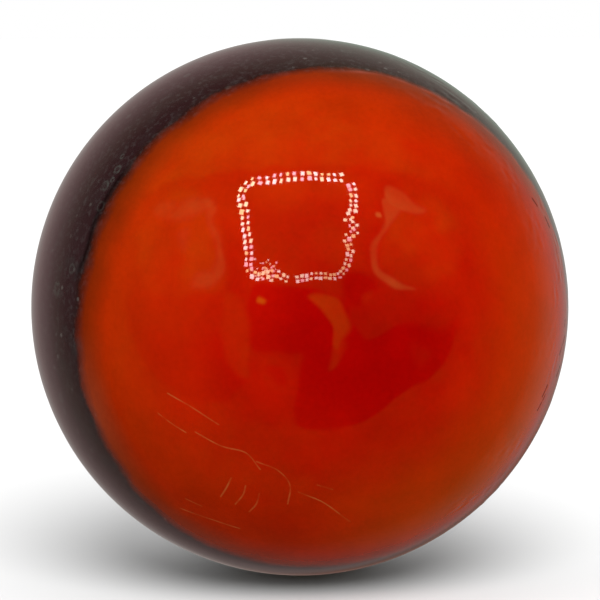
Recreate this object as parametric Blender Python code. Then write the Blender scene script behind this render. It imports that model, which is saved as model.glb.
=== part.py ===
"""Smooth two-colour lacquered golf ball, built as nested layers.

Units are metres, +Z is up. The origin is the centre of the ball. The orange cap faces -Y, and
its axis is the axis that the cap, the cover and the clear coat are turned about. Every layer
stays one bond line clear of the layer below it.
"""
import math

import bmesh
import bpy

# --- Driving dimensions -------------------------------------------------------------------
BALL_DIAMETER = 0.0427        # outside, over the clear coat
BOND_LINE = 0.0003            # space between one layer and the next
CLEAR_OVER_CAP = 0.0004       # clear coat's thickness where it lies on the orange cap
CAP_THICKNESS = 0.0004        # orange lacquer
COVER_THICKNESS = 0.00175
MANTLE_THICKNESS = 0.0015
INNER_CORE_RADIUS = 0.009

CAP_HALF_ANGLE = math.radians(63.5)      # from the cap's axis to its edge
CAP_EDGE_TAPER = math.radians(1.3)       # how far back the outer side of the cap's edge leans
CAP_EDGE_CLEARANCE = math.radians(1.3)   # from the cap's edge to the step in the clear coat

HOLDING_PIN_RADIUS = 0.0003   # hole in the clear coat where the ball was held while dipped
PARTING_GAP = 0.0003          # between the rims of two half shells

# --- Radii of the layers, from the outside in ---------------------------------------------
BALL_RADIUS = BALL_DIAMETER / 2
CLEAR_INNER_OVER_CAP = BALL_RADIUS - CLEAR_OVER_CAP
CAP_OUTER = CLEAR_INNER_OVER_CAP - BOND_LINE
CAP_INNER = CAP_OUTER - CAP_THICKNESS
CLEAR_INNER_OVER_COVER = CAP_INNER
COVER_OUTER = CAP_INNER - BOND_LINE
COVER_INNER = COVER_OUTER - COVER_THICKNESS
MANTLE_OUTER = COVER_INNER - BOND_LINE
MANTLE_INNER = MANTLE_OUTER - MANTLE_THICKNESS
OUTER_CORE_OUTER = MANTLE_INNER - BOND_LINE
OUTER_CORE_INNER = INNER_CORE_RADIUS + BOND_LINE

# --- How finely the round faces are cut ---------------------------------------------------
OUTER_SEGMENTS = 48           # round the axis: clear coat, cap and cover
INNER_SEGMENTS = 32           # round the axis: mantle and cores
OUTER_RING_ANGLE = math.radians(7.5)
INNER_RING_ANGLE = math.radians(11.25)
WELD_DISTANCE = 1e-7          # joins the turned profile's points on the axis
SHARP_EDGE_ANGLE = math.radians(30)

QUARTER_TURN = math.pi / 2
FACING_FRONT = (QUARTER_TURN, 0, 0)      # local +Z turned to -Y
FACING_BACK = (-QUARTER_TURN, 0, 0)
FACING_UP = (0, 0, 0)
FACING_DOWN = (math.pi, 0, 0)
FACING_LEFT = (0, -QUARTER_TURN, 0)
FACING_RIGHT = (0, QUARTER_TURN, 0)


def clear_scene():
    """Start from nothing, so that only the ball is in the file."""
    for leftover in list(bpy.data.objects):
        bpy.data.objects.remove(leftover, do_unlink=True)


def make_material(name, colour, roughness, coat=0.0, alpha=1.0):
    """A Principled material with one colour (linear RGB), for one sub-part."""
    material = bpy.data.materials.new(name)
    material.use_nodes = True
    shader = material.node_tree.nodes["Principled BSDF"]
    shader.inputs["Base Color"].default_value = (*colour, 1.0)
    shader.inputs["Roughness"].default_value = roughness
    shader.inputs["Metallic"].default_value = 0.0
    shader.inputs["Coat Weight"].default_value = coat
    shader.inputs["Alpha"].default_value = alpha
    material.diffuse_color = (*colour, alpha)
    return material


def arc(radius, start, end, ring_angle):
    """Points (x, z) on a circle about the origin, between two angles measured from +Z."""
    steps = max(1, round(abs(end - start) / ring_angle))
    angles = [start + (end - start) * step / steps for step in range(steps + 1)]
    return [(radius * math.sin(angle), radius * math.cos(angle)) for angle in angles]


def turned(name, outline, segments, rotation, material):
    """Turn an (x, z) outline, whose two ends lie on the axis, into a closed solid."""
    mesh = bpy.data.meshes.new(name)
    body = bmesh.new()
    points = [body.verts.new((x, 0.0, z)) for x, z in outline]
    runs = [body.edges.new(pair) for pair in zip(points, points[1:])]
    bmesh.ops.spin(
        body,
        geom=points + runs,
        cent=(0, 0, 0),
        axis=(0, 0, 1),
        angle=2 * math.pi,
        steps=segments,
        use_merge=True,
    )
    bmesh.ops.remove_doubles(body, verts=body.verts, dist=WELD_DISTANCE)
    bmesh.ops.recalc_face_normals(body, faces=body.faces)
    body.to_mesh(mesh)
    body.free()
    mesh.materials.append(material)
    mesh.shade_smooth()
    mesh.set_sharp_from_angle(angle=SHARP_EDGE_ANGLE)
    solid = bpy.data.objects.new(name, mesh)
    solid.rotation_euler = rotation
    bpy.context.scene.collection.objects.link(solid)
    return solid


def half_shell(outer, inner, ring_angle):
    """Outline of a hemispherical cup about +Z, cut back from the parting plane."""
    outer_rim = math.acos(PARTING_GAP / 2 / outer)
    inner_rim = math.acos(PARTING_GAP / 2 / inner)
    return arc(outer, 0, outer_rim, ring_angle) + arc(inner, inner_rim, 0, ring_angle)


def make_clear_coat():
    """One clear skin. Inside, it steps from the cap's outer face down to the cover's."""
    hole = math.asin(HOLDING_PIN_RADIUS / BALL_RADIUS)
    hole_inside = math.asin(HOLDING_PIN_RADIUS / CLEAR_INNER_OVER_COVER)
    step_top = CAP_HALF_ANGLE - CAP_EDGE_TAPER + CAP_EDGE_CLEARANCE
    step_foot = CAP_HALF_ANGLE + CAP_EDGE_CLEARANCE
    outside = arc(BALL_RADIUS, 0, math.pi - hole, OUTER_RING_ANGLE)
    over_cover = arc(CLEAR_INNER_OVER_COVER, math.pi - hole_inside, step_foot, OUTER_RING_ANGLE)
    over_cap = arc(CLEAR_INNER_OVER_CAP, step_top, 0, OUTER_RING_ANGLE)
    material = make_material("clear_lacquer", (0.85, 0.84, 0.82), 0.03, coat=1.0, alpha=0.25)
    outline = outside + over_cover + over_cap
    return turned("clear_coat", outline, OUTER_SEGMENTS, FACING_FRONT, material)


def make_orange_cap():
    """The dipped cap: a thin spherical bowl whose edge tapers towards the cover."""
    outside = arc(CAP_OUTER, 0, CAP_HALF_ANGLE - CAP_EDGE_TAPER, OUTER_RING_ANGLE)
    inside = arc(CAP_INNER, CAP_HALF_ANGLE, 0, OUTER_RING_ANGLE)
    material = make_material("orange_lacquer", (0.50, 0.024, 0.002), 0.25, coat=1.0)
    return turned("orange_cap", outside + inside, OUTER_SEGMENTS, FACING_FRONT, material)


def make_cover():
    """The dark cover's two cups, meeting halfway between the cap's pole and the back."""
    material = make_material("dark_cover", (0.022, 0.012, 0.012), 0.35, coat=1.0)
    outline = half_shell(COVER_OUTER, COVER_INNER, OUTER_RING_ANGLE)
    for name, rotation in (("cover_front_cup", FACING_FRONT), ("cover_rear_cup", FACING_BACK)):
        turned(name, outline, OUTER_SEGMENTS, rotation, material)


def make_mantle():
    """The mantle's cups, parted at right angles to the cover so that no seams line up."""
    material = make_material("mantle_resin", (0.62, 0.58, 0.50), 0.45)
    outline = half_shell(MANTLE_OUTER, MANTLE_INNER, INNER_RING_ANGLE)
    for name, rotation in (("mantle_upper_cup", FACING_UP), ("mantle_lower_cup", FACING_DOWN)):
        turned(name, outline, INNER_SEGMENTS, rotation, material)


def make_outer_core():
    """The outer core's cups, parted across both the mantle's and the cover's seams."""
    material = make_material("outer_core_rubber", (0.13, 0.19, 0.22), 0.70)
    outline = half_shell(OUTER_CORE_OUTER, OUTER_CORE_INNER, INNER_RING_ANGLE)
    sides = (("outer_core_left_cup", FACING_LEFT), ("outer_core_right_cup", FACING_RIGHT))
    for name, rotation in sides:
        turned(name, outline, INNER_SEGMENTS, rotation, material)


def make_inner_core():
    """The solid rubber centre."""
    material = make_material("inner_core_rubber", (0.30, 0.06, 0.03), 0.75)
    outline = arc(INNER_CORE_RADIUS, 0, math.pi, INNER_RING_ANGLE)
    return turned("inner_core", outline, INNER_SEGMENTS, FACING_UP, material)


clear_scene()
make_inner_core()
make_outer_core()
make_mantle()
make_cover()
make_orange_cap()
make_clear_coat()
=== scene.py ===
"""Looks of the smooth two-colour lacquered golf ball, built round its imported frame.

Everything is in metres in the frame's own axes: +Z is up and the orange cap faces -Y. A place on
the ball is given as the two angles (bearing, polar): bearing runs anticlockwise from the right
as the cap is looked at, and polar is measured from the cap's axis.
"""

import math

import bmesh
import bpy
import numpy as np
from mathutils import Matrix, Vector


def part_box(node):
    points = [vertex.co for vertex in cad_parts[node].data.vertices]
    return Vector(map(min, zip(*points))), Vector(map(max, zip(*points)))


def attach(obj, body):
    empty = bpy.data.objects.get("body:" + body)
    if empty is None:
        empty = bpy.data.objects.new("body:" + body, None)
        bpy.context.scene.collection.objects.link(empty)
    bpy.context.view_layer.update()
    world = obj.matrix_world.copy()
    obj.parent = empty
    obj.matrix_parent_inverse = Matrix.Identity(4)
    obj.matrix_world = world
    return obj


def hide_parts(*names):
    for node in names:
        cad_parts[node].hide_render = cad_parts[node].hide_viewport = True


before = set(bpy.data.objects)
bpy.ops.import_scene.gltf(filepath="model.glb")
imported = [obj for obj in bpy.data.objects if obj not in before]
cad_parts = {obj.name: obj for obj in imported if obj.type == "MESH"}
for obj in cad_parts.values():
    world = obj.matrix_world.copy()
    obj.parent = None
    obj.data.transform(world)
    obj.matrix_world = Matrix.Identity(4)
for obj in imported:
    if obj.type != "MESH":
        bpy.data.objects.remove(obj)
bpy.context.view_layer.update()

# --- Sizes taken from the frame ---
MM = 0.001
MICRON = 1e-6


def half_widths(node):
    """Half the size of a node's box along X, Y and Z."""
    low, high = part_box(node)
    return (high - low) / 2


BALL_RADIUS = min(half_widths("clear_coat"))
CAP_OUTER_RADIUS = -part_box("orange_cap")[0].y
BOND_LINE = 0.3 * MM           # space between one layer of the frame and the next
COVER_INNER_RADIUS = max(half_widths("mantle_upper_cup")) + BOND_LINE
CAP_EDGE_TAPER = math.radians(1.3)       # how far the outer side of the cap's edge leans back
CAP_EDGE = math.asin(half_widths("orange_cap").x / CAP_OUTER_RADIUS) + CAP_EDGE_TAPER

# --- Layers of the visual model ---
CAP_DEPTH = 0.45 * MM          # from the gloss surface to the underside of the cap
CAP_RECESS = 0.60 * MM         # how far the cover lies below the gloss surface under the cap
RECESS_RAMP = math.radians(1.5)
SEAM_DROP = 1.5 * MICRON       # keeps the cover's rim just under the cap's
GLOSS_MARGIN = 25 * MICRON     # room for the relief between the gloss surface and the frame
CAP_CELLS = 200                # cells along each side of the cube that is blown up to a sphere
COVER_CELLS = 150
COVER_INNER_CELLS = 32
TENT_CELLS = 150
SHARP_RIM_ANGLE = math.radians(40)

CAP_AXIS = Vector((0, -1, 0))

# --- The photograph's view ---
VIEW_AZIMUTH = math.radians(-13.0)
VIEW_ELEVATION = math.radians(6.0)
VIEW_DISTANCE = 10 * BALL_RADIUS
SENSOR_WIDTH = 36.0
BALL_IN_VIEW = 0.8967          # the ball's width as a share of the picture's
CENTRE_LEFT = -0.0003          # where the ball's centre lies from the picture's, as shares of it
CENTRE_DOWN = 0.0113

# --- Wear and other defects, and the painted shadow and highlight by the cap's edge, as (bearing, polar) places ---
# Plain handling scratches, most of them on the lower left of the cap. They spell and draw nothing.
SCRATCHES = [
    [(198, 42), (204, 38), (213, 34.5)], [(203, 46), (207, 44), (211, 42)],
    [(212, 40), (220, 37), (227, 34), (235, 35)],
    [(232, 34), (240, 33), (247, 35), (250, 40)],
    [(230.5, 41), (232, 44), (233, 47)], [(235.5, 40.5), (237, 43), (237.5, 46.5)],
    [(240.5, 40.5), (242, 43.5), (242, 46.5)], [(251, 36), (261, 37.5), (271, 43)],
    [(256, 33), (262, 33.5)], [(229.5, 58.5), (236.5, 55), (243.5, 53)],
    [(228, 54.5), (232, 53)], [(19, 60.2), (17, 60.8)], [(14.5, 61.2), (12, 61.6)],
]
SLITS = [                      # short dark cracks in the gloss, near the cap's right edge
    [(342.5, 55.5), (339.7, 54.6)], [(340, 56.2), (338.8, 55.9)], [(338, 55.6), (336, 55)],
    [(354.5, 63.2), (352.7, 62)], [(352, 61), (350.6, 60)], [(347.5, 63.5), (345.2, 62.2)],
    [(358.5, 62.6), (357.2, 62.2)], [(30, 58.5), (28, 59)], [(24, 61), (21.5, 61.3)],
]
SCRATCH_HALF_WIDTH = 0.075 * MM
SLIT_HALF_WIDTH = 0.17 * MM
SCRATCH_DEPTH = 2.5 * MICRON
SLIT_DEPTH = 2 * SCRATCH_DEPTH

GLOSS_RIPPLES = [              # height, wavelength and seed of each of the gloss's ripples
    (0.45 * MICRON, 1.5 * MM, 2),
    (0.9 * MICRON, 2.6 * MM, 3),
    (2.2 * MICRON, 7.0 * MM, 4),
]
WRINKLE_HEIGHT = 7 * MICRON
WRINKLE_STRETCH = (-50, 60)    # bearings between which the gloss is wrinkled
WRINKLE_POLARS = (40, 56)      # polar angles where the wrinkles start and are at full height
WRINKLE_LENGTH = 1.1 * MM
WRINKLE_PIT_LENGTH = 0.7 * MM
WRINKLE_PIT_SHARE = 0.6

# How far the paint's edge wanders from the cap's rim, as (bearing, degrees outwards).
EDGE_WANDER = [
    (0, 2.6), (15, 1.8), (27, 1.0), (50, 0.2), (80, 0.2), (105, -0.4), (125, -0.1),
    (150, -0.5), (163, -0.8), (176, 0.3), (190, 1.2), (205, 1.1), (233, 2.8), (270, 1.1),
    (305, 1.4), (322, 2.4), (340, 3.0),
]
EDGE_RIPPLE = 0.22             # degrees
EDGE_RIPPLE_LENGTH = 3.2 * MM
CRISP_STRETCH = (-40, 75)      # bearings between which the paint's edge is crisp
SOFT_EDGE_SHARE = 0.75         # how steep the edge is elsewhere, against the crisp stretch
THIN_STRETCH = (115, 195)      # bearings between which the orange paint thins out to brown,
THIN_TOP_STRETCH = (48, 82)    # and between which it thins
THIN_TOP_SHARE = 0.60          # by this share of that
LIP_HEIGHT = 7 * MICRON        # of the raised edge of the cap's lacquer
LIP_INSIDE_EDGE = 0.8          # degrees from the paint's edge in to the lip's crest
LIP_HALF_WIDTH = 0.55          # degrees
LIP_STRETCH = (20, 80)         # bearings between which the lip stands proud
SHADOW_STRETCH = (146, 166)    # bearings of the painted shadow line beside the cap's edge
SHADOW_FROM_EDGE = 2.4         # degrees
SHADOW_HALF_WIDTH = 0.7        # degrees

PIN_MARK_RADIUS = 0.35 * MM    # the sealed mark of the holding pin, opposite the cap
PIN_MARK_DEPTH = 30 * MICRON
PIN_MARK_SURROUND = 2.5        # radius of the finely cut area round it, in radii of the mark

BUBBLES = [                    # bearing, polar and radius (mm) of bubbles just below the gloss
    (148.5, 68.0, 0.42), (146.5, 66.8, 0.22), (144.0, 67.5, 0.38), (141.0, 69.0, 0.24),
    (173.0, 73.5, 0.50), (197.0, 77.0, 0.35),
]


# --- Small helpers ---
def on_ball(bearing, polar):
    """Unit vector to a place on the ball, from its bearing and polar angle in degrees."""
    bearing, polar = math.radians(bearing), math.radians(polar)
    across = math.sin(polar)
    return np.array([across * math.cos(bearing), -math.cos(polar), across * math.sin(bearing)])


def unit(rows):
    """Each row of vectors at length one."""
    return rows / np.linalg.norm(rows, axis=-1, keepdims=True)


def view_axes():
    """The photograph's right, up and towards-the-camera directions."""
    azimuth, elevation = VIEW_AZIMUTH, VIEW_ELEVATION
    right = Vector((math.cos(azimuth), math.sin(azimuth), 0))
    back = Vector((
        math.sin(azimuth) * math.cos(elevation),
        -math.cos(azimuth) * math.cos(elevation),
        math.sin(elevation),
    ))
    return right, back.cross(right), back


def smooth_step(value, start, end):
    """0 before start, 1 after end, with a smooth curve between."""
    t = np.clip((value - start) / (end - start), 0.0, 1.0)
    return t * t * (3 - 2 * t)


def polar_angle(points):
    """Angle from the cap's axis of each row of unit vectors."""
    return np.arccos(np.clip(-points[:, 1], -1.0, 1.0))


def bearing_angle(points):
    """Bearing in degrees, 0 to 360, of each row of unit vectors."""
    return np.degrees(np.arctan2(points[:, 2], points[:, 0])) % 360


def within_stretch(bearings, stretch, fade):
    """1 between two bearings, fading out over fade degrees past each of them."""
    middle, half = sum(stretch) / 2, (stretch[1] - stretch[0]) / 2
    off = np.abs((bearings - middle + 180) % 360 - 180)
    return 1 - smooth_step(off, half, half + fade)


def ripple(points, wavelength, seed, waves=28):
    """A smooth random field of about unit height, with one wavelength (m) over the ball."""
    rng = np.random.default_rng(seed)
    headings = unit(rng.normal(size=(waves, 3)))
    phases = rng.uniform(0, 2 * math.pi, waves)
    turns = 2 * math.pi * BALL_RADIUS / wavelength
    return np.sin(points @ headings.T * turns + phases).sum(axis=1) / math.sqrt(waves / 2)


def curve_point(a, b, c, d, t):
    """The point a share t of the way from b to c, on a smooth curve through all four."""
    return 0.5 * (2 * b + (c - a) * t + (2 * a - 5 * b + 4 * c - d) * t ** 2
                  + (3 * b - a - 3 * c + d) * t ** 3)


def smooth_path(places, steps=6):
    """Unit vectors along a smooth curve through a few (bearing, polar) places."""
    knots = np.array([on_ball(*place) for place in places])
    knots = np.concatenate([2 * knots[:1] - knots[1:2], knots, 2 * knots[-1:] - knots[-2:-1]])
    spans = zip(knots, knots[1:], knots[2:], knots[3:])
    path = [curve_point(*span, t) for span in spans for t in np.arange(steps) / steps]
    return unit(np.array(path + [knots[-2]]))


def gap_to_path(points, path):
    """Distance of each point from a path, both on the unit ball."""
    gap = np.full(len(points), 9.0)
    for start, end in zip(path, path[1:]):
        along = end - start
        t = np.clip((points - start) @ along / (along @ along), 0, 1)
        gap = np.minimum(gap, np.linalg.norm(points - start - t[:, None] * along, axis=1))
    return gap


# --- Round grids ---
def cube_sphere(cells):
    """Unit vectors and quads of a cube, cut into cells, with every point pushed to a sphere."""
    steps = np.tan(np.linspace(-math.pi / 4, math.pi / 4, cells + 1))
    across, up = np.meshgrid(steps, steps, indexing="ij")
    number = np.arange((cells + 1) ** 2).reshape(cells + 1, cells + 1)
    tile = [number[:-1, :-1], number[1:, :-1], number[1:, 1:], number[:-1, 1:]]
    tile = np.stack(tile, axis=-1).reshape(-1, 4)
    points, quads = [], []
    for side in (1.0, -1.0):
        face = np.stack([np.full_like(across, side), side * across, up], axis=-1)
        for axis in range(3):
            quads.append(tile + len(points) * number.size)
            points.append(np.roll(face, axis, axis=-1).reshape(-1, 3))
    points = unit(np.concatenate(points))
    _, first, joined = np.unique(points.round(7), axis=0, return_index=True, return_inverse=True)
    return points[first], joined.reshape(-1)[np.concatenate(quads)]


def as_grid(points, quads):
    """The same points and quads as an editable mesh, without its unused points."""
    mesh = bpy.data.meshes.new("grid")
    mesh.from_pydata(points.tolist(), [], quads.tolist())
    grid = bmesh.new()
    grid.from_mesh(mesh)
    bpy.data.meshes.remove(mesh)
    loose = [point for point in grid.verts if not point.link_faces]
    bmesh.ops.delete(grid, geom=loose, context="VERTS")
    return grid


def as_arrays(grid):
    """The points of an editable mesh as rows, and its faces as lists of point numbers."""
    grid.verts.index_update()
    points = np.array([point.co[:] for point in grid.verts])
    return unit(points), [[point.index for point in face.verts] for face in grid.faces]


def refine(grid, wanted):
    """Cut the faces near the wanted points four times finer each way."""
    points, _ = as_arrays(grid)
    marked = wanted(points)
    chosen = {face for face in grid.faces if any(marked[point.index] for point in face.verts)}
    edges = [edge for edge in grid.edges if any(face in chosen for face in edge.link_faces)]
    bmesh.ops.subdivide_edges(grid, edges=edges, cuts=3, use_grid_fill=True)
    for point in grid.verts:
        point.co.normalize()


def new_piece(name, points, faces):
    """An object from points and faces, shaded smooth except at its rims."""
    mesh = bpy.data.meshes.new(name)
    mesh.from_pydata(points.tolist(), [], faces)
    mesh.validate()
    mesh.shade_smooth()
    mesh.set_sharp_from_angle(angle=SHARP_RIM_ANGLE)
    piece = bpy.data.objects.new(name, mesh)
    bpy.context.scene.collection.objects.link(piece)
    return piece


def paint_points(mesh, name, colours):
    """Store a colour for every point of a mesh, for a material to read."""
    rows = np.concatenate([colours, np.ones((len(colours), 1))], axis=1)
    layer = mesh.attributes.new(name, "FLOAT_COLOR", "POINT")
    layer.data.foreach_set("color", rows.astype(np.float32).ravel())


# --- Surface relief ---
def along_strokes(points, strokes, half_width):
    """1 along the middle of every stroke, falling to 0 at its sides and below 0 beyond them."""
    closeness = np.full(len(points), -9.0)
    for places in strokes:
        path = smooth_path(places)
        middle = path[len(path) // 2]
        reach = math.acos(min((path @ middle).min(), 1.0)) + math.radians(2)
        around = points @ middle > math.cos(reach)
        gap = gap_to_path(points[around], path) * BALL_RADIUS / half_width
        closeness[around] = np.maximum(closeness[around], 1 - gap ** 2)
    return closeness


def scratched(points):
    """1 along the middle of every scratch, falling to 0 at its sides."""
    return np.clip(along_strokes(points, SCRATCHES, SCRATCH_HALF_WIDTH), 0, 1)


def slit(points):
    """1 along the middle of every slit, falling to 0 at its sides."""
    return np.clip(along_strokes(points, SLITS, SLIT_HALF_WIDTH), 0, 1)


def near_stroke(points):
    """Whether a scratch or slit passes close by each point."""
    return along_strokes(points, SCRATCHES + SLITS, 2 * SCRATCH_HALF_WIDTH) > 0


def past_edge(points):
    """How many degrees each point lies past the edge of the orange paint."""
    bearings, wander = zip(*EDGE_WANDER)
    edge = np.interp(bearing_angle(points), bearings, wander, period=360)
    edge += EDGE_RIPPLE * ripple(points, EDGE_RIPPLE_LENGTH, seed=8) + math.degrees(CAP_EDGE)
    return np.degrees(polar_angle(points)) - edge


def lip(points):
    """1 on the crest of the raised edge of the cap's lacquer, falling to 0 beside it."""
    crest = np.exp(-((past_edge(points) + LIP_INSIDE_EDGE) / LIP_HALF_WIDTH) ** 2)
    share = within_stretch(bearing_angle(points), LIP_STRETCH, fade=15)
    return crest * share * (0.75 + 0.25 * ripple(points, 1.8 * MM, seed=9))


def edge_shadow(points):
    """1 in the painted shadow line beside the cap's edge, on its left."""
    line = np.exp(-((past_edge(points) - SHADOW_FROM_EDGE) / SHADOW_HALF_WIDTH) ** 2)
    return line * within_stretch(bearing_angle(points), SHADOW_STRETCH, fade=6)


def pin_mark(points):
    """1 in the middle of the mark opposite the cap, falling to 0 at its rim."""
    off = np.degrees(math.pi - polar_angle(points)) / math.degrees(PIN_MARK_RADIUS / BALL_RADIUS)
    return np.clip(1 - off ** 2, 0, 1)


def near_pin_mark(points):
    """Whether each point lies in the mark opposite the cap or close round it."""
    return math.pi - polar_angle(points) < PIN_MARK_SURROUND * PIN_MARK_RADIUS / BALL_RADIUS


def wrinkles(points):
    """Patches of fine wrinkles, drawn out up and down, with pits between, on the cap's right."""
    where = smooth_step(np.degrees(polar_angle(points)), *WRINKLE_POLARS)
    where *= within_stretch(bearing_angle(points), WRINKLE_STRETCH, fade=25)
    patches = smooth_step(ripple(points, 4 * MM, seed=6), -0.6, 1.0)
    drawn_out = points * np.array([1.0, 1.0, 0.6])
    pits = WRINKLE_PIT_SHARE * ripple(points, WRINKLE_PIT_LENGTH, seed=7)
    return where * patches * (ripple(drawn_out, WRINKLE_LENGTH, seed=5) + pits)


def gloss_radius(points):
    """Distance of the gloss surface from the centre, for rows of unit vectors."""
    height = sum(size * ripple(points, length, seed) for size, length, seed in GLOSS_RIPPLES)
    height += WRINKLE_HEIGHT * wrinkles(points)
    height += LIP_HEIGHT * lip(points)
    height -= SCRATCH_DEPTH * scratched(points) + SLIT_DEPTH * slit(points)
    height -= PIN_MARK_DEPTH * pin_mark(points)
    return BALL_RADIUS - GLOSS_MARGIN + height


def mark_flaws_and_painted_light(piece, points):
    """Give a piece's material its scratches, its slits and painted shadow line, the lip's painted
    highlight, and the paint's edge.
    """
    # The slits are real cracks; the line beside the cap's edge is painted shadow.
    slits_and_painted_shadow = np.maximum(edge_shadow(points), slit(points))
    flaws_and_painted_light = np.stack([scratched(points), slits_and_painted_shadow, lip(points)], axis=1)
    paint_points(piece.data, "flaws_and_painted_light", flaws_and_painted_light)
    bearings = bearing_angle(points)
    crisp = within_stretch(bearings, CRISP_STRETCH, fade=40)
    steep = SOFT_EDGE_SHARE + (1 - SOFT_EDGE_SHARE) * crisp
    thin_top = THIN_TOP_SHARE * within_stretch(bearings, THIN_TOP_STRETCH, fade=20)
    thin = np.maximum(within_stretch(bearings, THIN_STRETCH, fade=35), thin_top)
    paint_points(piece.data, "edge", np.stack([past_edge(points), steep, thin], axis=1))


# --- The orange cap ---
def cap_grid():
    """The part of a fine round grid inside the cap's edge, with a clean round rim."""
    points, quads = cube_sphere(CAP_CELLS)
    near = polar_angle(points) < CAP_EDGE + math.radians(2)
    grid = as_grid(points, quads[near[quads].all(axis=1)])
    bmesh.ops.bisect_plane(
        grid,
        geom=grid.verts[:] + grid.edges[:] + grid.faces[:],
        dist=1e-6,
        plane_co=CAP_AXIS * math.cos(CAP_EDGE),
        plane_no=CAP_AXIS,
        clear_inner=True,
    )
    for point in grid.verts:
        point.co.normalize()
    return grid


def make_cap():
    """A closed bowl: a finely cut gloss surface, a plain underside, and a wall between rims."""
    grid = cap_grid()
    under_points, under_faces = as_arrays(grid)
    number_below = grid.verts.layers.int.new("number_below")
    for point in grid.verts:
        point[number_below] = point.index
    refine(grid, near_stroke)
    points, faces = as_arrays(grid)
    count = len(points)
    faces += [[number + count for number in reversed(face)] for face in under_faces]
    for edge in grid.edges:
        if edge.is_boundary:
            loop = edge.link_loops[0]
            start, end = loop.vert, loop.link_loop_next.vert
            below = [start[number_below] + count, end[number_below] + count]
            faces.append([end.index, start.index, *below])
    grid.free()
    top = points * gloss_radius(points)[:, None]
    bottom = under_points * (BALL_RADIUS - CAP_DEPTH)
    cap = new_piece("cap_lacquer", np.concatenate([top, bottom]), faces)
    mark_flaws_and_painted_light(cap, np.concatenate([points, under_points]))
    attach(cap, "root")
    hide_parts("orange_cap")
    return cap


# --- The dark body ---
def body_radius(points):
    """The gloss surface outside the cap, dropping to a shallow seat below it."""
    ramp = smooth_step(polar_angle(points), CAP_EDGE - 2 * RECESS_RAMP, CAP_EDGE - RECESS_RAMP / 4)
    return gloss_radius(points) - SEAM_DROP - CAP_RECESS * (1 - ramp)


def make_body():
    """A thick closed shell with the gloss surface outside and a plain hollow inside."""
    grid = as_grid(*cube_sphere(COVER_CELLS))
    refine(grid, near_pin_mark)
    points, faces = as_arrays(grid)
    grid.free()
    hollow, hollow_quads = cube_sphere(COVER_INNER_CELLS)
    faces += (hollow_quads[:, ::-1] + len(points)).tolist()
    outside = points * body_radius(points)[:, None]
    body = new_piece("dark_body", np.concatenate([outside, hollow * COVER_INNER_RADIUS]), faces)
    mark_flaws_and_painted_light(body, np.concatenate([points, hollow]))
    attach(body, "root")
    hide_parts("cover_front_cup", "cover_rear_cup", "clear_coat")
    return body


# --- Materials ---
class Shading:
    """A material's node tree, with short calls for the nodes that are used most."""

    def __init__(self, name):
        self.material = bpy.data.materials.new(name)
        self.material.use_nodes = True
        self.tree = self.material.node_tree
        self.shader = self.tree.nodes["Principled BSDF"]
        self.place = self.node("ShaderNodeTexCoord").outputs["Object"]

    def node(self, kind, **settings):
        made = self.tree.nodes.new(kind)
        for key, value in settings.items():
            setattr(made, key, value)
        return made

    def feed(self, socket, value):
        """Link another node's output to a socket, or set the socket to a plain value."""
        if isinstance(value, bpy.types.NodeSocket):
            self.tree.links.new(value, socket)
        else:
            socket.default_value = value

    def maths(self, operation, *values, clamp=False):
        made = self.node("ShaderNodeMath", operation=operation, use_clamp=clamp)
        for socket, value in zip(made.inputs, values):
            self.feed(socket, value)
        return made.outputs[0]

    def vector(self, operation, *values, out=0):
        made = self.node("ShaderNodeVectorMath", operation=operation)
        for socket, value in zip(made.inputs, values):
            self.feed(socket, value)
        return made.outputs[out]

    def scaled(self, colour, factor):
        """A colour made lighter or darker by a factor."""
        made = self.node("ShaderNodeVectorMath", operation="SCALE")
        self.feed(made.inputs[0], colour)
        self.feed(made.inputs["Scale"], factor)
        return made.outputs[0]

    def parts(self, colour):
        """A colour's red, green and blue."""
        made = self.node("ShaderNodeSeparateColor")
        self.feed(made.inputs[0], colour)
        return list(made.outputs)

    def stored(self, name):
        """The red, green and blue of a colour stored on the mesh's points."""
        made = self.node("ShaderNodeAttribute", attribute_name=name)
        return self.parts(made.outputs["Color"])

    def noise(self, size, detail=2.0, roughness=0.5):
        """Noise whose lumps are about size metres wide, from 0 to 1."""
        made = self.node("ShaderNodeTexNoise")
        self.feed(made.inputs["Vector"], self.place)
        made.inputs["Scale"].default_value = 1 / size
        made.inputs["Detail"].default_value = detail
        made.inputs["Roughness"].default_value = roughness
        return made.outputs["Fac"]

    def cells(self, size):
        """Distance to the nearest of scattered points, in cells, and a random value for each."""
        made = self.node("ShaderNodeTexVoronoi")
        self.feed(made.inputs["Vector"], self.place)
        made.inputs["Scale"].default_value = 1 / size
        return made.outputs["Distance"], self.parts(made.outputs["Color"])[0]

    def ramp(self, factor, stops):
        made = self.node("ShaderNodeValToRGB")
        made.color_ramp.interpolation = "EASE"
        elements = made.color_ramp.elements
        while len(elements) < len(stops):
            elements.new(0.5)
        for element, (position, colour) in zip(elements, stops):
            element.position = position
            element.color = (*colour, 1)
        self.feed(made.inputs["Fac"], factor)
        return made.outputs["Color"]

    def mix(self, factor, first, second, blend="MIX"):
        made = self.node("ShaderNodeMix", data_type="RGBA", blend_type=blend)
        colours = [socket for socket in made.inputs if socket.type == "RGBA"]
        self.feed(made.inputs[0], factor)
        for socket, value in zip(colours, (first, second)):
            self.feed(socket, (*value, 1) if isinstance(value, tuple) else value)
        return [socket for socket in made.outputs if socket.type == "RGBA"][0]

    def spread(self, value, low, high, to_low=0.0, to_high=1.0):
        """Map low..high to to_low..to_high, held at both ends."""
        made = self.node("ShaderNodeMapRange", clamp=True)
        for key, number in zip(("Value", "From Min", "From Max", "To Min", "To Max"),
                               (value, low, high, to_low, to_high)):
            self.feed(made.inputs[key], number)
        return made.outputs["Result"]

    def ring(self, distance, radius, width):
        """1 on a ring at the given distance, fading to 0 on both sides of it."""
        off = self.maths("ABSOLUTE", self.maths("SUBTRACT", distance, radius))
        return self.spread(off, width * 0.3, width, 1.0, 0.0)


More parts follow.
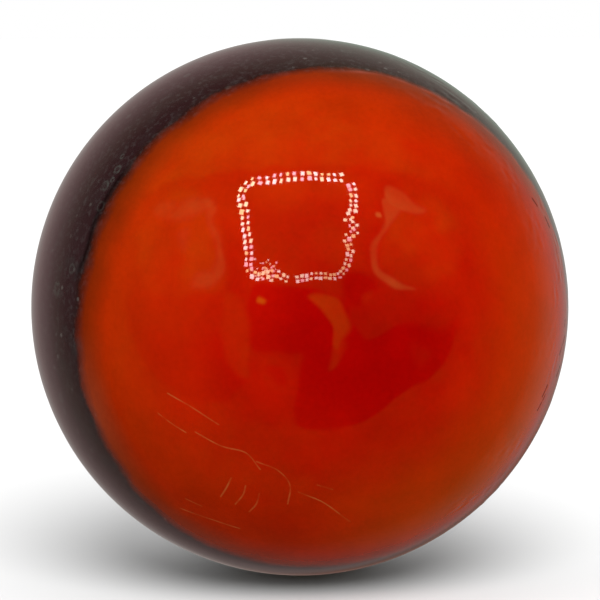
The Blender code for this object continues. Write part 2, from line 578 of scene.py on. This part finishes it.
# The paints' colours, in linear RGB.
DARK_BESIDE_CAP = [            # from high on the ball to low: lighter and greyer low down, which is painted light from below
    (0.0, (0.0145, 0.0046, 0.0058)),
    (0.55, (0.0190, 0.0078, 0.0092)),
    (1.0, (0.0225, 0.0135, 0.0135)),
]
DARK_FARTHER_BACK = [
    (0.0, (0.0160, 0.0056, 0.0072)),
    (0.55, (0.0210, 0.0090, 0.0118)),
    (1.0, (0.0265, 0.0175, 0.0180)),
]
DARK_FRINGE = (0.0135, 0.0042, 0.0034)
MOTTLE_GREY = (0.021, 0.0165, 0.0165)
GRAIN_GREY = (0.033, 0.025, 0.025)
SPECK_GREY = (0.075, 0.068, 0.062)
BUBBLE_GREY = (0.048, 0.050, 0.044)
ORANGE_FROM_POLE = [           # from the middle of the cap to its edge; part of its turn to orange is a painted reflection
    (0.0, (0.20, 0.0002, 0.0001)),
    (0.15, (0.215, 0.0003, 0.0001)),
    (0.40, (0.27, 0.0020, 0.0001)),
    (0.62, (0.285, 0.0066, 0.0002)),
    (0.86, (0.28, 0.0125, 0.0003)),
    (1.0, (0.185, 0.015, 0.001)),
]
THIN_ORANGE_ABOVE = (0.125, 0.010, 0.0008)
# Lighter and greyer than above: thinner paint, plus painted haze of reflected light low on the cap.
THIN_AND_HAZED_ORANGE_BELOW = (0.215, 0.030, 0.0090)
UPPER_RIGHT = tuple(on_ball(60, 90))
UPPER_RIGHT_SHADE_TINT = (0.87, 1.10, 1.0)    # painted shade: the orange made darker and browner at the upper right, where the main light falls strongest
BELT_HEIGHT = -0.58            # of a dimmer belt round the cap, in ball radii
# Painted highlight: the pinkish line along the crest of the cap's raised lip.
LIP_HIGHLIGHT_PINK = (0.40, 0.09, 0.06)
SCRATCH_PALE = (0.33, 0.088, 0.022)
SHADOW_SHADE = 0.22            # brightness left in slits and in the painted shadow line beside the cap
SLIT_GLOSS = 0.35              # gloss left there


def bubble_rings(s, outward):
    """1 on the rims of the bubbles that lie just below the gloss."""
    rings = 0.0
    for bearing, polar, radius in BUBBLES:
        away = s.vector("DISTANCE", outward, tuple(on_ball(bearing, polar)), out="Value")
        size = radius * MM / BALL_RADIUS
        rings = s.maths("MAXIMUM", rings, s.ring(away, size * 0.8, size * 0.45))
    return s.maths("MULTIPLY", rings, s.spread(s.noise(0.35 * MM), 0.35, 0.62, 0.1, 1.0))


def dark_paint(s, outward, past):
    """The body's colour: aubergine, with greyish mottles, specks and bubbles near the cap; lighter,
    greyer and more mottled low down, which is painted light from below.
    """
    height = s.vector("DOT_PRODUCT", outward, (0, 0, 1), out="Value")
    # Painted light from below: the dark paint turns lighter and greyer lower on the ball.
    lowness = s.spread(height, 0.7, -0.4)
    beside_cap = s.ramp(lowness, DARK_BESIDE_CAP)
    farther_back = s.ramp(lowness, DARK_FARTHER_BACK)
    plain = s.mix(s.spread(past, 4.0, 14.0), beside_cap, farther_back)
    fringe = s.maths("MULTIPLY", s.spread(past, 3.0, 0.8), s.spread(height, -0.25, 0.15))
    plain = s.mix(fringe, plain, DARK_FRINGE)
    closeness = s.spread(past, 0.0, 16.0, 1.0, 0.3)
    mottle = s.spread(s.noise(1.7 * MM, detail=4.0, roughness=0.6), 0.48, 0.68)
    # More mottles low down, also part of the painted light from below.
    mottle = s.maths("MULTIPLY", mottle, s.spread(height, 0.7, -0.3, 0.4, 1.0))
    paint = s.mix(s.maths("MULTIPLY", mottle, closeness), plain, MOTTLE_GREY)
    fine = s.spread(s.noise(0.45 * MM, detail=3.0, roughness=0.6), 0.50, 0.72)
    paint = s.mix(s.maths("MULTIPLY", fine, 0.65), paint, GRAIN_GREY)
    distance, lot = s.cells(1.25 * MM)
    specks = s.maths("MULTIPLY", s.spread(distance, 0.07, 0.17, 1.0, 0.0), s.spread(lot, 0.3, 0.9))
    paint = s.mix(s.maths("MULTIPLY", specks, closeness), paint, SPECK_GREY)
    distance, lot = s.cells(2.4 * MM)
    loose_rings = s.maths("MULTIPLY", s.ring(distance, 0.15, 0.05), s.spread(lot, 0.55, 0.8))
    rings = s.maths("MAXIMUM", bubble_rings(s, outward), s.maths("MULTIPLY", loose_rings, 0.5))
    return s.mix(s.maths("MULTIPLY", rings, 0.62), paint, BUBBLE_GREY)


def orange_paint(s, outward, polar, past, thinning):
    """The cap's colour: deep red in the middle, more orange and thinner towards its edge, where part
    of the orange is a painted reflection.
    """
    height = s.vector("DOT_PRODUCT", outward, (0, 0, 1), out="Value")
    # Partly painted reflection: the cap grows more orange towards its edge.
    plain = s.ramp(s.spread(polar, 0.0, 64.0), ORANGE_FROM_POLE)
    thin = s.maths("MULTIPLY", s.spread(past, -9.0, -0.5), thinning)
    # Lighter low down: thinner paint, plus painted haze of reflected light.
    brown = s.mix(s.spread(height, -0.30, 0.0), THIN_AND_HAZED_ORANGE_BELOW, THIN_ORANGE_ABOVE)
    plain = s.mix(thin, plain, brown)
    # Painted shade at the upper right, against the main light.
    towards_upper_right = s.vector("DOT_PRODUCT", outward, UPPER_RIGHT, out="Value")
    painted_shade_upper_right = s.vector("MULTIPLY", plain, UPPER_RIGHT_SHADE_TINT)
    plain = s.mix(s.spread(towards_upper_right, 0.66, 0.84), plain, painted_shade_upper_right)
    cloudy = s.spread(s.noise(3.5 * MM, detail=3.0), 0.3, 0.7, 0.90, 1.08)
    grain = s.spread(s.noise(0.35 * MM, detail=1.0), 0.25, 0.75, 0.95, 1.05)
    off_belt = s.maths("ABSOLUTE", s.maths("SUBTRACT", height, BELT_HEIGHT))
    belt = s.spread(off_belt, 0.0, 0.4, 0.88, 1.0)
    return s.scaled(plain, s.maths("MULTIPLY", s.maths("MULTIPLY", cloudy, grain), belt))


def lacquer(name):
    """The ball's painted colours under its clear gloss, worked out from the place on the ball."""
    s = Shading(name)
    outward = s.vector("NORMALIZE", s.place)
    along_axis = s.vector("DOT_PRODUCT", outward, tuple(CAP_AXIS), out="Value")
    polar = s.maths("DEGREES", s.maths("ARCCOSINE", along_axis))
    scratch, shadow, lip_painted_highlight = s.stored("flaws_and_painted_light")
    past, steep, thinning = s.stored("edge")
    past = s.maths("ADD", past, s.spread(s.noise(0.8 * MM), 0.3, 0.7, -0.3, 0.3))

    orange = orange_paint(s, outward, polar, past, thinning)
    # Painted highlight along the crest of the lip.
    orange = s.mix(s.maths("MULTIPLY", lip_painted_highlight, 0.25), orange, LIP_HIGHLIGHT_PINK)
    dark = dark_paint(s, outward, past)
    paint = s.mix(s.spread(s.maths("MULTIPLY", past, steep), -1.5, 1.1), orange, dark)
    # Painted shadow: this darkens the line beside the cap's edge, and the slits too.
    paint = s.mix(s.maths("MULTIPLY", shadow, 0.85), paint, s.scaled(paint, SHADOW_SHADE))
    faint = s.spread(s.noise(1.1 * MM), 0.35, 0.7, 0.1, 0.65)
    paint = s.mix(s.maths("MULTIPLY", scratch, faint), paint, SCRATCH_PALE)
    s.feed(s.shader.inputs["Base Color"], paint)
    s.shader.inputs["Roughness"].default_value = 0.6
    s.shader.inputs["Specular IOR Level"].default_value = 0.0
    s.feed(s.shader.inputs["Coat Weight"], s.spread(shadow, 0.0, 1.0, 1.0, SLIT_GLOSS))
    s.shader.inputs["Coat Roughness"].default_value = 0.03
    s.shader.inputs["Coat IOR"].default_value = 1.5
    return s.material


def inner_layer(name, colour, flecks, fleck_size, roughness):
    """A moulded inner layer: cloudy colour, scattered flecks, and a fine matt grain."""
    s = Shading(name)
    cloudy = s.spread(s.noise(4 * MM, detail=3.0), 0.3, 0.7)
    darker = tuple(0.8 * part for part in colour)
    paint = s.mix(cloudy, darker, colour)
    distance, lot = s.cells(fleck_size)
    spots = s.maths("MULTIPLY", s.spread(distance, 0.10, 0.25, 1.0, 0.0), s.spread(lot, 0.4, 0.8))
    s.feed(s.shader.inputs["Base Color"], s.mix(spots, paint, flecks))
    grain = s.noise(0.3 * MM, detail=3.0)
    s.feed(s.shader.inputs["Roughness"], s.spread(grain, 0.3, 0.7, roughness - 0.08, roughness + 0.08))
    bump = s.node("ShaderNodeBump")
    bump.inputs["Strength"].default_value = 0.3
    bump.inputs["Distance"].default_value = 20 * MICRON
    s.feed(bump.inputs["Height"], grain)
    s.feed(s.shader.inputs["Normal"], bump.outputs["Normal"])
    return s.material


def finish_inner_layers():
    """Materials for the CAD solids that stay, inside the ball."""
    resin = inner_layer("mantle_resin_look", (0.62, 0.58, 0.50), (0.72, 0.70, 0.66), 1.6 * MM, 0.45)
    rubber = inner_layer("outer_core_look", (0.13, 0.19, 0.22), (0.30, 0.34, 0.35), 1.1 * MM, 0.70)
    centre = inner_layer("inner_core_look", (0.30, 0.06, 0.03), (0.45, 0.16, 0.10), 0.9 * MM, 0.75)
    looks = {
        "mantle_upper_cup": resin,
        "mantle_lower_cup": resin,
        "outer_core_left_cup": rubber,
        "outer_core_right_cup": rubber,
        "inner_core": centre,
    }
    for node, look in looks.items():
        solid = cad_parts[node]
        if not solid.material_slots:
            solid.data.materials.append(look)
        for slot in solid.material_slots:
            slot.material = look


# --- Stage ---
def stage_piece(name, points, faces):
    """A piece of the studio, which isn't part of the ball."""
    mesh = bpy.data.meshes.new(name)
    mesh.from_pydata(points, [], faces)
    thing = bpy.data.objects.new(name, mesh)
    bpy.context.scene.collection.objects.link(thing)
    return thing


def make_glow_only_in_gloss(thing, colours):
    """Let a stage piece shine with the colours of its points, but only in reflections."""
    paint_points(thing.data, "glow", colours)
    material = bpy.data.materials.new(thing.name + "_glow")
    material.use_nodes = True
    tree = material.node_tree
    tree.nodes.clear()
    stored = tree.nodes.new("ShaderNodeAttribute")
    stored.attribute_name = "glow"
    glow = tree.nodes.new("ShaderNodeEmission")
    out = tree.nodes.new("ShaderNodeOutputMaterial")
    tree.links.new(stored.outputs["Color"], glow.inputs["Color"])
    tree.links.new(glow.outputs[0], out.inputs["Surface"])
    thing.data.materials.append(material)
    for ray in ("camera", "diffuse", "transmission", "volume_scatter", "shadow"):
        setattr(thing, f"visible_{ray}", False)
    return material


FLOOR_HALF = 8.0
FLOOR_GREY = 0.66


def make_floor():
    """A plain pale floor that the ball rests on, left out of the gloss's reflections."""
    corners = [(x * FLOOR_HALF, y * FLOOR_HALF, -BALL_RADIUS)
               for x, y in ((-1, -1), (1, -1), (1, 1), (-1, 1))]
    floor = stage_piece("studio_floor", corners, [(0, 1, 2, 3)])
    material = bpy.data.materials.new("studio_floor_paint")
    material.use_nodes = True
    shader = material.node_tree.nodes["Principled BSDF"]
    shader.inputs["Base Color"].default_value = (FLOOR_GREY, FLOOR_GREY, FLOOR_GREY, 1)
    shader.inputs["Roughness"].default_value = 0.9
    shader.inputs["Specular IOR Level"].default_value = 0.0
    floor.data.materials.append(material)
    floor.visible_glossy = False


def make_world():
    """Plain white light from all round, left out of the gloss's reflections."""
    world = bpy.data.worlds.new("studio_air")
    world.use_nodes = True
    background = world.node_tree.nodes["Background"]
    background.inputs["Color"].default_value = (1, 1, 1, 1)
    world.cycles_visibility.glossy = False
    bpy.context.scene.world = world


def mirrored(place):
    """The point of the gloss at a place, and the direction that the camera sees mirrored there."""
    _, _, back = view_axes()
    point = place * BALL_RADIUS
    sight = unit(point - np.array(back) * VIEW_DISTANCE)
    return point, sight - 2 * (sight @ place) * place


def mirroring_place(directions):
    """The place on the ball where the camera sees each far direction mirrored."""
    _, _, back = view_axes()
    nudge = 1.0001             # so that no direction quite cancels the camera's
    place = unit(directions + np.array(back) * nudge)
    for _ in range(3):
        to_camera = unit(np.array(back) * VIEW_DISTANCE - place * BALL_RADIUS)
        place = unit(directions + to_camera * nudge)
    return place


def laid_flat(bearings, polars):
    """Places as points on a flat disc: as many degrees out as their polar angle, at their bearing."""
    turn = np.radians(bearings)
    return np.stack([polars * np.cos(turn), polars * np.sin(turn)], axis=-1)


def rounded(bends, steps=4):
    """A closed smooth curve through the bends of an outline on the flat disc."""
    span = (np.roll(bends, shift, axis=0)[:, None] for shift in (1, 0, -1, -2))
    return curve_point(*span, (np.arange(steps) / steps)[None, :, None]).reshape(-1, 2)


def soft_outline(spots, corners, softness):
    """1 inside a closed outline on the flat disc, fading to 0 outside it over a few degrees."""
    bends = laid_flat(*np.array(corners, dtype=float).T)
    if len(bends) > 2:
        bends = rounded(bends)
    reach = softness + 0.1
    near = ((spots > bends.min(axis=0) - reach) & (spots < bends.max(axis=0) + reach)).all(axis=1)
    close = spots[near]
    gap = np.full(len(close), 999.0)
    inside = np.zeros(len(close), dtype=bool)
    for start, end in zip(bends, np.roll(bends, -1, axis=0)):
        along, off = end - start, close - start
        share = np.clip(off @ along / max(along @ along, 1e-9), 0, 1)
        gap = np.minimum(gap, np.linalg.norm(off - share[:, None] * along, axis=1))
        crossed = (start[1] > close[:, 1]) != (end[1] > close[:, 1])
        on_left = (along[0] * off[:, 1] - along[1] * off[:, 0] > 0) == (along[1] > 0)
        inside ^= crossed & on_left
    shape = np.zeros(len(spots))
    shape[near] = smooth_step(np.where(inside, gap, -gap), -softness, softness)
    return shape


# The tent is a far sphere that only the gloss sees. Its light behind the ball, by the cosine of
# the angle between its direction and the camera's line of sight:
TENT_RADIUS = 3.0
TENT_BEHIND = [
    (0.15, (0.00, 0.00, 0.00)),
    (0.45, (0.09, 0.055, 0.035)),
    (0.57, (0.21, 0.150, 0.115)),
    (0.72, (0.36, 0.240, 0.225)),
    (0.87, (0.46, 0.335, 0.320)),
    (0.95, (0.46, 0.39, 0.37)),
    (1.00, (0.46, 0.42, 0.40)),
]
TENT_LOW_SHARE = 0.42          # how much of that light is left near the floor
DIM_STRETCH = (-80, -35)       # bearings in the view where it is dimmer,
DIM_LOSS = np.array([0.35, 0.58, 0.64])     # and the share lost there
GREEN_STRETCH = (38, 75)       # bearings in the view where it is greener,
GREEN_LOSS = np.array([0.20, -0.07, 0.04])  # and the share lost there
SIDE_GLOW = np.array([0.38, 0.20, 0.006])   # light that comes in low from the right
SIDE_GLOW_DROP = 0.55          # how far down it comes from, for each step right
WARM = np.array([1.4, 1.0, 0.03])           # light of the room's walls and ceiling
LAMPLIT = np.array([1.1, 0.80, 0.14])       # light of the room's brighter patches

# The room in front of the ball, given by where its parts show on the ball.
ROOM_SURROUND = [              # bearing and strength of the ceiling, walls and floor
    (0, 0.12), (30, 0.12), (60, 0.18), (90, 0.32), (120, 0.36), (140, 0.24), (160, 0.09),
    (200, 0.10), (230, 0.12), (270, 0.12), (320, 0.12),
]
ROOM_PARTS = [                 # outline, softness and strength, each painted over those before
    ([(145, 54.5), (133.5, 47.5), (119.5, 40), (98.5, 35), (77, 34), (56.5, 36.5), (37.5, 34.5),
      (21, 30.5), (4.5, 27), (350.5, 23), (333, 17), (306, 14), (270, 17.5), (242, 21.5),
      (214.5, 30.5), (201, 37.5), (190, 44.5), (179.5, 49), (164.5, 51.5)], 1.0, 0.10),
    ([(135, 40), (122, 37), (98, 34), (82, 31), (85, 18), (95, 12), (120, 10), (148, 16),
      (160, 24), (146, 30)], 2.5, 0.19),
    ([(124, 37), (100, 34), (91, 29), (98, 26), (124, 32)], 2.5, 0.27),
    ([(156, 24.5), (145.5, 18.5), (134, 12), (122, 7), (140, 4), (329, 1), (20, 10), (12, 19.5),
      (355.5, 18.5), (335.5, 17), (306, 14), (270, 17.5), (242, 21.5), (231, 22.5),
      (222, 18.5), (212.5, 15.5), (201, 14), (193, 13.5), (190, 18), (187.5, 22.5),
      (174, 23.2)], 0.6, 0.0),
    ([(50, 9), (24, 16), (12, 20.5), (2, 18), (10, 11), (60, 5)], 1.8, 0.09),
    ([(354, 10), (340, 10), (330, 13), (345, 14)], 1.2, 0.05),
    ([(110.5, 12.5), (98, 13), (85.5, 11.8), (77.5, 9.3), (90, 6.5), (118, 6.5), (122, 8)],
     0.9, 0.03),
    ([(52, 12.3), (44, 14), (33, 17), (28, 20.5), (24, 20), (27, 16), (40, 11), (55, 9.5)],
     1.2, 0.12),
    ([(169, 48.5), (161, 30), (165, 24), (187.5, 22.5), (201, 24.5), (206.5, 29.5),
      (201, 37.5), (190, 44.5), (179.5, 49)], 1.0, 0.02),
    ([(169, 47), (161, 32), (165, 27), (178, 27), (180, 36), (177, 45)], 3.0, 0.09),
    ([(163, 29), (164, 24.5), (187.5, 23), (199, 24.3), (194, 27), (180, 28)], 1.0, 0.20),
    ([(187.5, 22.5), (193, 13.5), (203, 14), (212.5, 15.5), (222, 19), (231, 22.5),
      (221.5, 26), (214, 29.5), (206.5, 29.5), (201, 24.5)], 0.8, 0.08),
    ([(192, 20.5), (197, 16.5), (209, 16), (214, 19.5), (206, 21.5)], 0.9, 0.12),
    ([(196, 20), (203, 17.5), (210, 18.5), (206, 20.5)], 0.9, 0.04),
    ([(154, 52), (145, 51), (139, 48), (136, 42), (141.5, 37), (151, 32), (161, 29.5),
      (165, 34), (168, 46)], 1.8, 0.22),
    ([(143, 47), (138, 43), (142, 37), (151, 32), (160, 30), (163, 37), (153, 41)], 2.2, 0.40),
    ([(77, 29.5), (71, 31), (60, 32), (48, 31), (38, 27), (33, 22), (36, 17.5), (48, 13),
      (68, 12.5), (79, 15), (78, 20), (74.5, 25)], 2.2, 0.25),
    ([(74, 27), (62, 30), (50, 29), (48, 24), (62, 18), (76, 17)], 2.6, 0.38),
]
ROOM_LIGHTS = [                # outline, softness, strength and colour of its brighter parts
    ([(148, 47.6), (144, 46.6), (138.5, 44.2), (137, 40.5), (141.8, 40.8), (147, 43.9)],
     1.6, 0.70, LAMPLIT),
    ([(139, 43.8), (137, 42.5), (138.5, 40), (140.5, 41.5)], 0.9, 0.85, LAMPLIT),
    ([(149, 51), (145, 50.5), (143.5, 47), (148, 46.5)], 1.2, 0.50, LAMPLIT),
    ([(139, 42), (137.2, 39.5), (141.5, 37.6), (145.3, 34.3), (147.5, 35.2), (144.3, 38.3)],
     0.9, 0.62, LAMPLIT),
    ([(145.5, 35.8), (145.3, 34.3), (151.5, 31.4), (158, 31), (158, 32.8), (150.5, 33.5)],
     0.8, 0.80, LAMPLIT),
    ([(147, 42), (150, 40), (154, 40), (151, 43)], 1.3, 0.50, LAMPLIT),
    ([(156, 32.5), (159, 31.2), (163.5, 34), (163.5, 36), (159, 35.5)], 1.2, 0.72, LAMPLIT),
    ([(79.5, 29.6), (77.6, 31), (72.6, 30.6), (66.9, 29.3), (60, 28.8), (68.3, 26.4),
      (74, 26)], 0.7, 1.05, LAMPLIT),
    ([(79.5, 28), (73, 28), (71.7, 25), (74.5, 22.9), (77, 21), (79.5, 19), (80, 16.5),
      (76.5, 13.9), (66.5, 12.8), (54, 12.9), (42, 14), (52.5, 11.4), (69.5, 11), (80, 12.4),
      (84.8, 15.8), (83.4, 18.8), (80, 21.4), (77.5, 23.2), (78, 25.6)], 0.6, 0.85, LAMPLIT),
    ([(79.3, 23.6), (82, 23.4), (82.4, 24.4), (79.8, 24.6)], 0.4, 1.7, LAMPLIT),
    ([(158.8, 21.9), (159, 20.4), (162, 20.6), (162, 22)], 0.5, 1.5, WARM),
    ([(112, 47)], 0.7, 1.6, WARM),
    ([(144, 13.6), (136, 12.4), (128, 9.2), (129, 6), (149, 3.9), (190, 4.6), (206, 6),
      (193, 6.6), (163, 7.1), (150, 9.8), (147, 12.4)], 0.55, 0.42, WARM),
    ([(193, 4), (214, 6), (224, 8.5), (219, 9), (200, 7), (180, 5.5)], 0.7, 0.16, WARM),
    ([(95, 8.5), (80, 9), (80, 6), (98, 6)], 0.9, 0.13, WARM),
    ([(80, 5), (50, 5), (50, 2.5), (90, 2.5)], 0.9, 0.13, WARM),
]
ROOM_WOBBLE = 0.25             # degrees that the uneven gloss shifts the room's outlines by
ROOM_BLOTCHES = [              # strength, size and seed of the unevenness of the room's light
    (0.08, 1.5 * MM, 21),
    (0.12, 4 * MM, 22),
]


def tent_light(directions):
    """Red, green and blue that the tent sends from each direction."""
    right, up, back = view_axes()
    depth = -directions @ np.array(back)
    cosines, colours = zip(*TENT_BEHIND)
    light = np.stack([np.interp(depth, cosines, band) for band in zip(*colours)], axis=1)
    high_share = smooth_step(directions[:, 2], -0.9, 0.1)
    light *= (TENT_LOW_SHARE + (1 - TENT_LOW_SHARE) * high_share)[:, None]
    across, rise = directions @ np.array(right), directions @ np.array(up)
    sideways = np.hypot(across, rise)
    turn = np.degrees(np.arctan2(rise, across))
    dim_share = within_stretch(turn, DIM_STRETCH, fade=40)
    dim_share *= smooth_step(sideways, 0.02, 0.10) * (1 - smooth_step(sideways, 0.32, 0.48))
    light *= 1 - dim_share[:, None] * DIM_LOSS
    green_share = within_stretch(turn, GREEN_STRETCH, fade=35) * smooth_step(sideways, 0.05, 0.25)
    light *= 1 - green_share[:, None] * GREEN_LOSS
    low_right = unit(np.array(right - up * SIDE_GLOW_DROP))
    side_share = smooth_step(directions @ low_right, 0.38, 0.90)
    side_share *= smooth_step(depth, -0.35, 0.25) * (1 - smooth_step(depth, 0.75, 0.98))
    light += side_share[:, None] * SIDE_GLOW

    places = mirroring_place(directions)
    bearings, strengths = zip(*ROOM_SURROUND)
    strength = np.interp(bearing_angle(places), bearings, strengths, period=360)
    spots = laid_flat(bearing_angle(places), np.degrees(polar_angle(places)))
    spots[:, 0] += ROOM_WOBBLE * ripple(places, 2.0 * MM, seed=23)
    spots[:, 1] += ROOM_WOBBLE * ripple(places, 2.0 * MM, seed=24)
    for outline, softness, part in ROOM_PARTS:
        shape = soft_outline(spots, outline, softness)
        strength = strength * (1 - shape) + part * shape
    blotchy = 1 + sum(part * ripple(places, size, seed) for part, size, seed in ROOM_BLOTCHES)
    room = (strength * blotchy)[:, None] * WARM
    for outline, softness, part, hue in ROOM_LIGHTS:
        shape = soft_outline(spots, outline, softness) * blotchy
        room = np.maximum(room, (part * shape)[:, None] * hue)
    front_share = 1 - smooth_step(depth, -0.25, 0.35)
    return light + room * front_share[:, None]


def make_tent():
    """The tent that the gloss mirrors: a dim room where the camera stands, pale cloth behind."""
    directions, quads = cube_sphere(TENT_CELLS)
    tent = stage_piece("tent", (directions * TENT_RADIUS).tolist(), quads[:, ::-1].tolist())
    material = make_glow_only_in_gloss(tent, tent_light(directions))
    material.cycles.emission_sampling = "NONE"


LAMP_DISTANCE = 0.30           # from the ball's surface
LAMP_DOT_HALF = 3.6 * MM       # half a dot's width,
LAMP_DOT_SIZES = (0.75, 1.10)  # which varies between these shares of that
LAMP_DOT_SHAPES = (0.8, 1.2)   # and dots are wider or taller by these shares
LAMP_ROW_GAP = (0.41, 0.52, 0.58)  # degrees on the ball from the ring's middle line to a row
LAMP_DOT_GAP = (0.90, 1.00, 1.36)  # and from dot to dot,
LAMP_FALL = (0.42, 0.72, 1.10)     # and the dots' brightness,
LAMP_POLAR = (13, 22, 36)          # all three at these polar angles
LAMP_STRENGTH = 21
LAMP_TINTS = [                 # cream, straw, amber, pink and white dots
    (1.0, 0.95, 0.72), (1.0, 0.88, 0.55), (0.95, 0.70, 0.34), (1.0, 0.56, 0.62), (1.0, 0.92, 0.86),
]

# The lamp's square outline as the uneven gloss bends it, where it shows on the ball.
RING_OUTLINE = [
    (129.5, 37.5), (127, 38.5), (124, 38.5), (121, 37.5), (111.5, 35), (104, 33.5), (98.5, 32.5),
    (94, 32), (91.8, 30), (92.3, 27), (93.7, 24.5), (96.3, 23), (92.5, 21), (99, 19.5),
    (98.5, 17.5), (101, 16), (104, 14.5), (109, 13.5), (115, 13.2), (128, 15.3), (136.5, 17),
    (143, 19), (144, 21.5), (149, 23.5), (150.3, 25), (148.5, 26.7), (144, 28), (139.5, 30),
    (136.5, 32), (132.5, 34.5),
]
RING_GAPS = [(93.5, 31.5), (141, 18.5)]  # breaks between dots
RING_GAP_REACH = 0.55          # degrees
RING_SMEAR = (146, 23.5)       # where the gloss breaks the ring up into a patch of sparks
RING_SMEAR_REACH = 2.2         # degrees
RING_SPARKS = 46
RING_SPARK_SIZES = (0.35, 0.80)  # against a dot's
RING_SPARK_BRIGHTNESS = 0.55
RING_JITTER = 0.05             # degrees
RING_STEP_AHEAD = 0.2          # degrees, for the ring's heading


def ring_dots():
    """Where the lamp's dots show on the ball, with the size and brightness of each."""
    rng = np.random.default_rng(11)
    path = smooth_path(RING_OUTLINE + RING_OUTLINE[:1], steps=8)
    lengths = np.degrees(np.linalg.norm(np.diff(path, axis=0), axis=1))
    reach = np.concatenate([[0], np.cumsum(lengths)])
    dots, stop = [], 0.0
    while stop < reach[-1]:
        middle = unit(np.array([np.interp(stop, reach, column) for column in path.T]))
        ahead = unit(np.array([np.interp(stop + RING_STEP_AHEAD, reach, column) for column in path.T]))
        sideways = unit(np.cross(middle, ahead - middle))
        polar = math.degrees(math.acos(-middle[1]))
        row_gap, dot_gap, rise = (
            np.interp(polar, LAMP_POLAR, values)
            for values in (LAMP_ROW_GAP, LAMP_DOT_GAP, LAMP_FALL)
        )
        for row in (-1, 1):
            off = math.radians(row * row_gap) * sideways
            jitter = rng.normal(size=3) * math.radians(RING_JITTER)
            if all(math.degrees(np.linalg.norm(middle - on_ball(*gap))) > RING_GAP_REACH
                   for gap in RING_GAPS):
                dots.append((unit(middle + off + jitter), rng.uniform(*LAMP_DOT_SIZES), rise))
        stop += dot_gap
    for _ in range(RING_SPARKS):
        off = rng.normal(size=3) * math.radians(RING_SMEAR_REACH / 2)
        spark = unit(on_ball(*RING_SMEAR) + off)
        dots.append((spark, rng.uniform(*RING_SPARK_SIZES), RING_SPARK_BRIGHTNESS))
    return dots


def make_ring_lamp():
    """A ring of small bright dots, in two rows, seen only as a reflection in the gloss."""
    rng = np.random.default_rng(12)
    corners, faces, colours = [], [], []
    for place, size, brightness in ring_dots():
        point, heading = mirrored(place)
        middle = point + heading * LAMP_DISTANCE
        across = unit(np.cross(heading, (0, 0, 1)))
        rise = np.cross(across, heading)
        tint = np.array(LAMP_TINTS[rng.integers(len(LAMP_TINTS))])
        width, height = LAMP_DOT_HALF * size * rng.uniform(*LAMP_DOT_SHAPES, 2)
        height *= 0.9 + 0.7 * max(0.0, brightness - 0.5)  # the brightest dots are drawn out
        faces.append(list(range(len(corners), len(corners) + 4)))
        for a, b in ((-1, -1), (-1, 1), (1, 1), (1, -1)):
            corners.append((middle + across * a * width + rise * b * height).tolist())
            colours.append(tint * brightness * LAMP_STRENGTH)
    lamp = stage_piece("ring_lamp", corners, faces)
    make_glow_only_in_gloss(lamp, np.array(colours))


KEY_RISE = math.radians(39.0)  # of the main light, above the line of sight
KEY_TURN = math.radians(6.0)   # and to the right of it
KEY_ANGLE = math.radians(40)   # how wide the light looks, which softens its shadow
KEY_STRENGTH = 3.2


def make_key_light():
    """The soft main light, above the camera and a little to its right."""
    right, up, back = view_axes()
    level = back * math.cos(KEY_TURN) + right * math.sin(KEY_TURN)
    towards = level * math.cos(KEY_RISE) + up * math.sin(KEY_RISE)
    light = bpy.data.lights.new("key_light", "SUN")
    light.angle = KEY_ANGLE
    light.energy = KEY_STRENGTH
    key = bpy.data.objects.new("key_light", light)
    key.location = towards
    key.rotation_mode = "QUATERNION"
    key.rotation_quaternion = (-towards).to_track_quat("-Z", "Y")
    key.visible_glossy = False
    key.visible_camera = False
    bpy.context.scene.collection.objects.link(key)


def make_camera():
    """The photograph's camera, which fits the ball to its place in the picture."""
    right, up, back = view_axes()
    data = bpy.data.cameras.new("camera")
    data.sensor_width = SENSOR_WIDTH
    half_view = BALL_RADIUS / math.sqrt(VIEW_DISTANCE ** 2 - BALL_RADIUS ** 2) / BALL_IN_VIEW
    data.lens = SENSOR_WIDTH / 2 / half_view
    data.shift_x = -CENTRE_LEFT
    data.shift_y = CENTRE_DOWN
    data.clip_start = 0.01
    data.clip_end = 20
    camera = bpy.data.objects.new("camera", data)
    camera.location = back * VIEW_DISTANCE
    camera.rotation_mode = "QUATERNION"
    camera.rotation_quaternion = (-back).to_track_quat("-Z", "Y")
    bpy.context.scene.collection.objects.link(camera)
    bpy.context.scene.camera = camera


make_camera()
cap = make_cap()
body = make_body()
cap.data.materials.append(lacquer("orange_lacquer_look"))
body.data.materials.append(lacquer("dark_lacquer_look"))
finish_inner_layers()
make_floor()
make_world()
make_tent()
make_ring_lamp()
make_key_light()
bpy.context.scene.view_settings.view_transform = "Standard"
